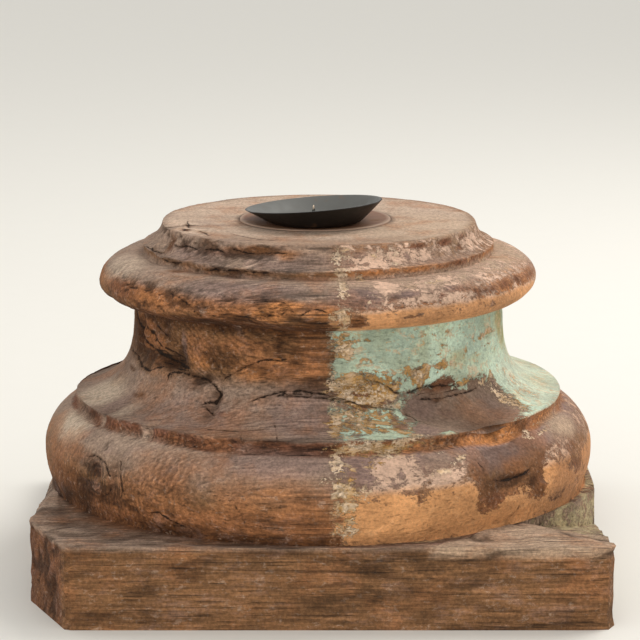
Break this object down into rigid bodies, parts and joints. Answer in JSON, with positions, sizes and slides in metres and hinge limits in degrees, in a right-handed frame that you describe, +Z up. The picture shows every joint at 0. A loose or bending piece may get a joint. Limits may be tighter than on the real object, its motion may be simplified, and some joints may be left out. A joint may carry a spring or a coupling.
{
  "type": "column base",
  "caption": "Weathered turned column base of wood with rolls, a hollow neck and a square plinth, carrying an iron candle dish with a spike on a let-in disc.",
  "frame": {"origin": "Middle of the underside of the plinth, which is also the foot of the turning axis.", "axes": "+Z is up along the turning axis, -Y is the front that faces the viewer in the picture, +X is the right. Metres."},
  "size_m": [0.4404, 0.4404, 0.2911],
  "materials": {
    "weathered_wood": "bare weathered hardwood with flaking old paint",
    "disc_wood": "bare wood, worn smooth",
    "dish_iron": "blackened, satin",
    "spike_steel": "dull with a bright tip"
  },
  "bodies": {
    "root": {"column_base": "weathered_wood", "seat_disc": "disc_wood", "candle_dish": "dish_iron", "candle_spike": "spike_steel"}
  },
  "joints": []
}
